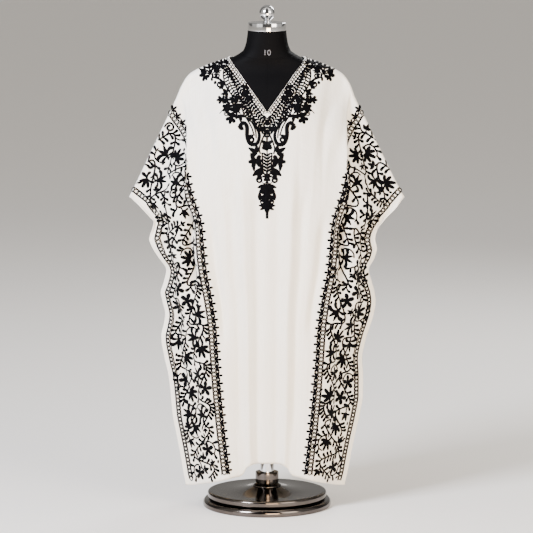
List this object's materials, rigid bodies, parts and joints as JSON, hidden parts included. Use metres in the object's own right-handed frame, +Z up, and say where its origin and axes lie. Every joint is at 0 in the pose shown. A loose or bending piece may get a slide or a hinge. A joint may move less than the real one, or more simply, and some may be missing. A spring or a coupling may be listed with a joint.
{
  "type": "kaftan on a dress form",
  "caption": "Wide V-neck cotton kaftan with embroidered yoke and side bands, hanging on a limbless dress form with a pole and round foot",
  "frame": {"origin": "centre of the foot ring's underside, on the floor", "axes": "+Z up along the pole, the kaftan's front looks along -Y, +X towards the right side of the front view"},
  "size_m": [0.799, 0.376, 1.468],
  "materials": {
    "cloth": "matt slub cotton",
    "form_jersey": "satin black jersey",
    "chrome": "polished",
    "dark_chrome": "polished dark"
  },
  "bodies": {
    "root": {"kaftan_front": "cloth", "kaftan_back": "cloth", "dress_form": "form_jersey", "neck_cap": "chrome", "ball_finial": "chrome", "pole": "chrome", "pole_collar": "dark_chrome", "cone_ring": "dark_chrome", "foot_plate": "dark_chrome", "foot_ring": "dark_chrome"}
  },
  "joints": []
}
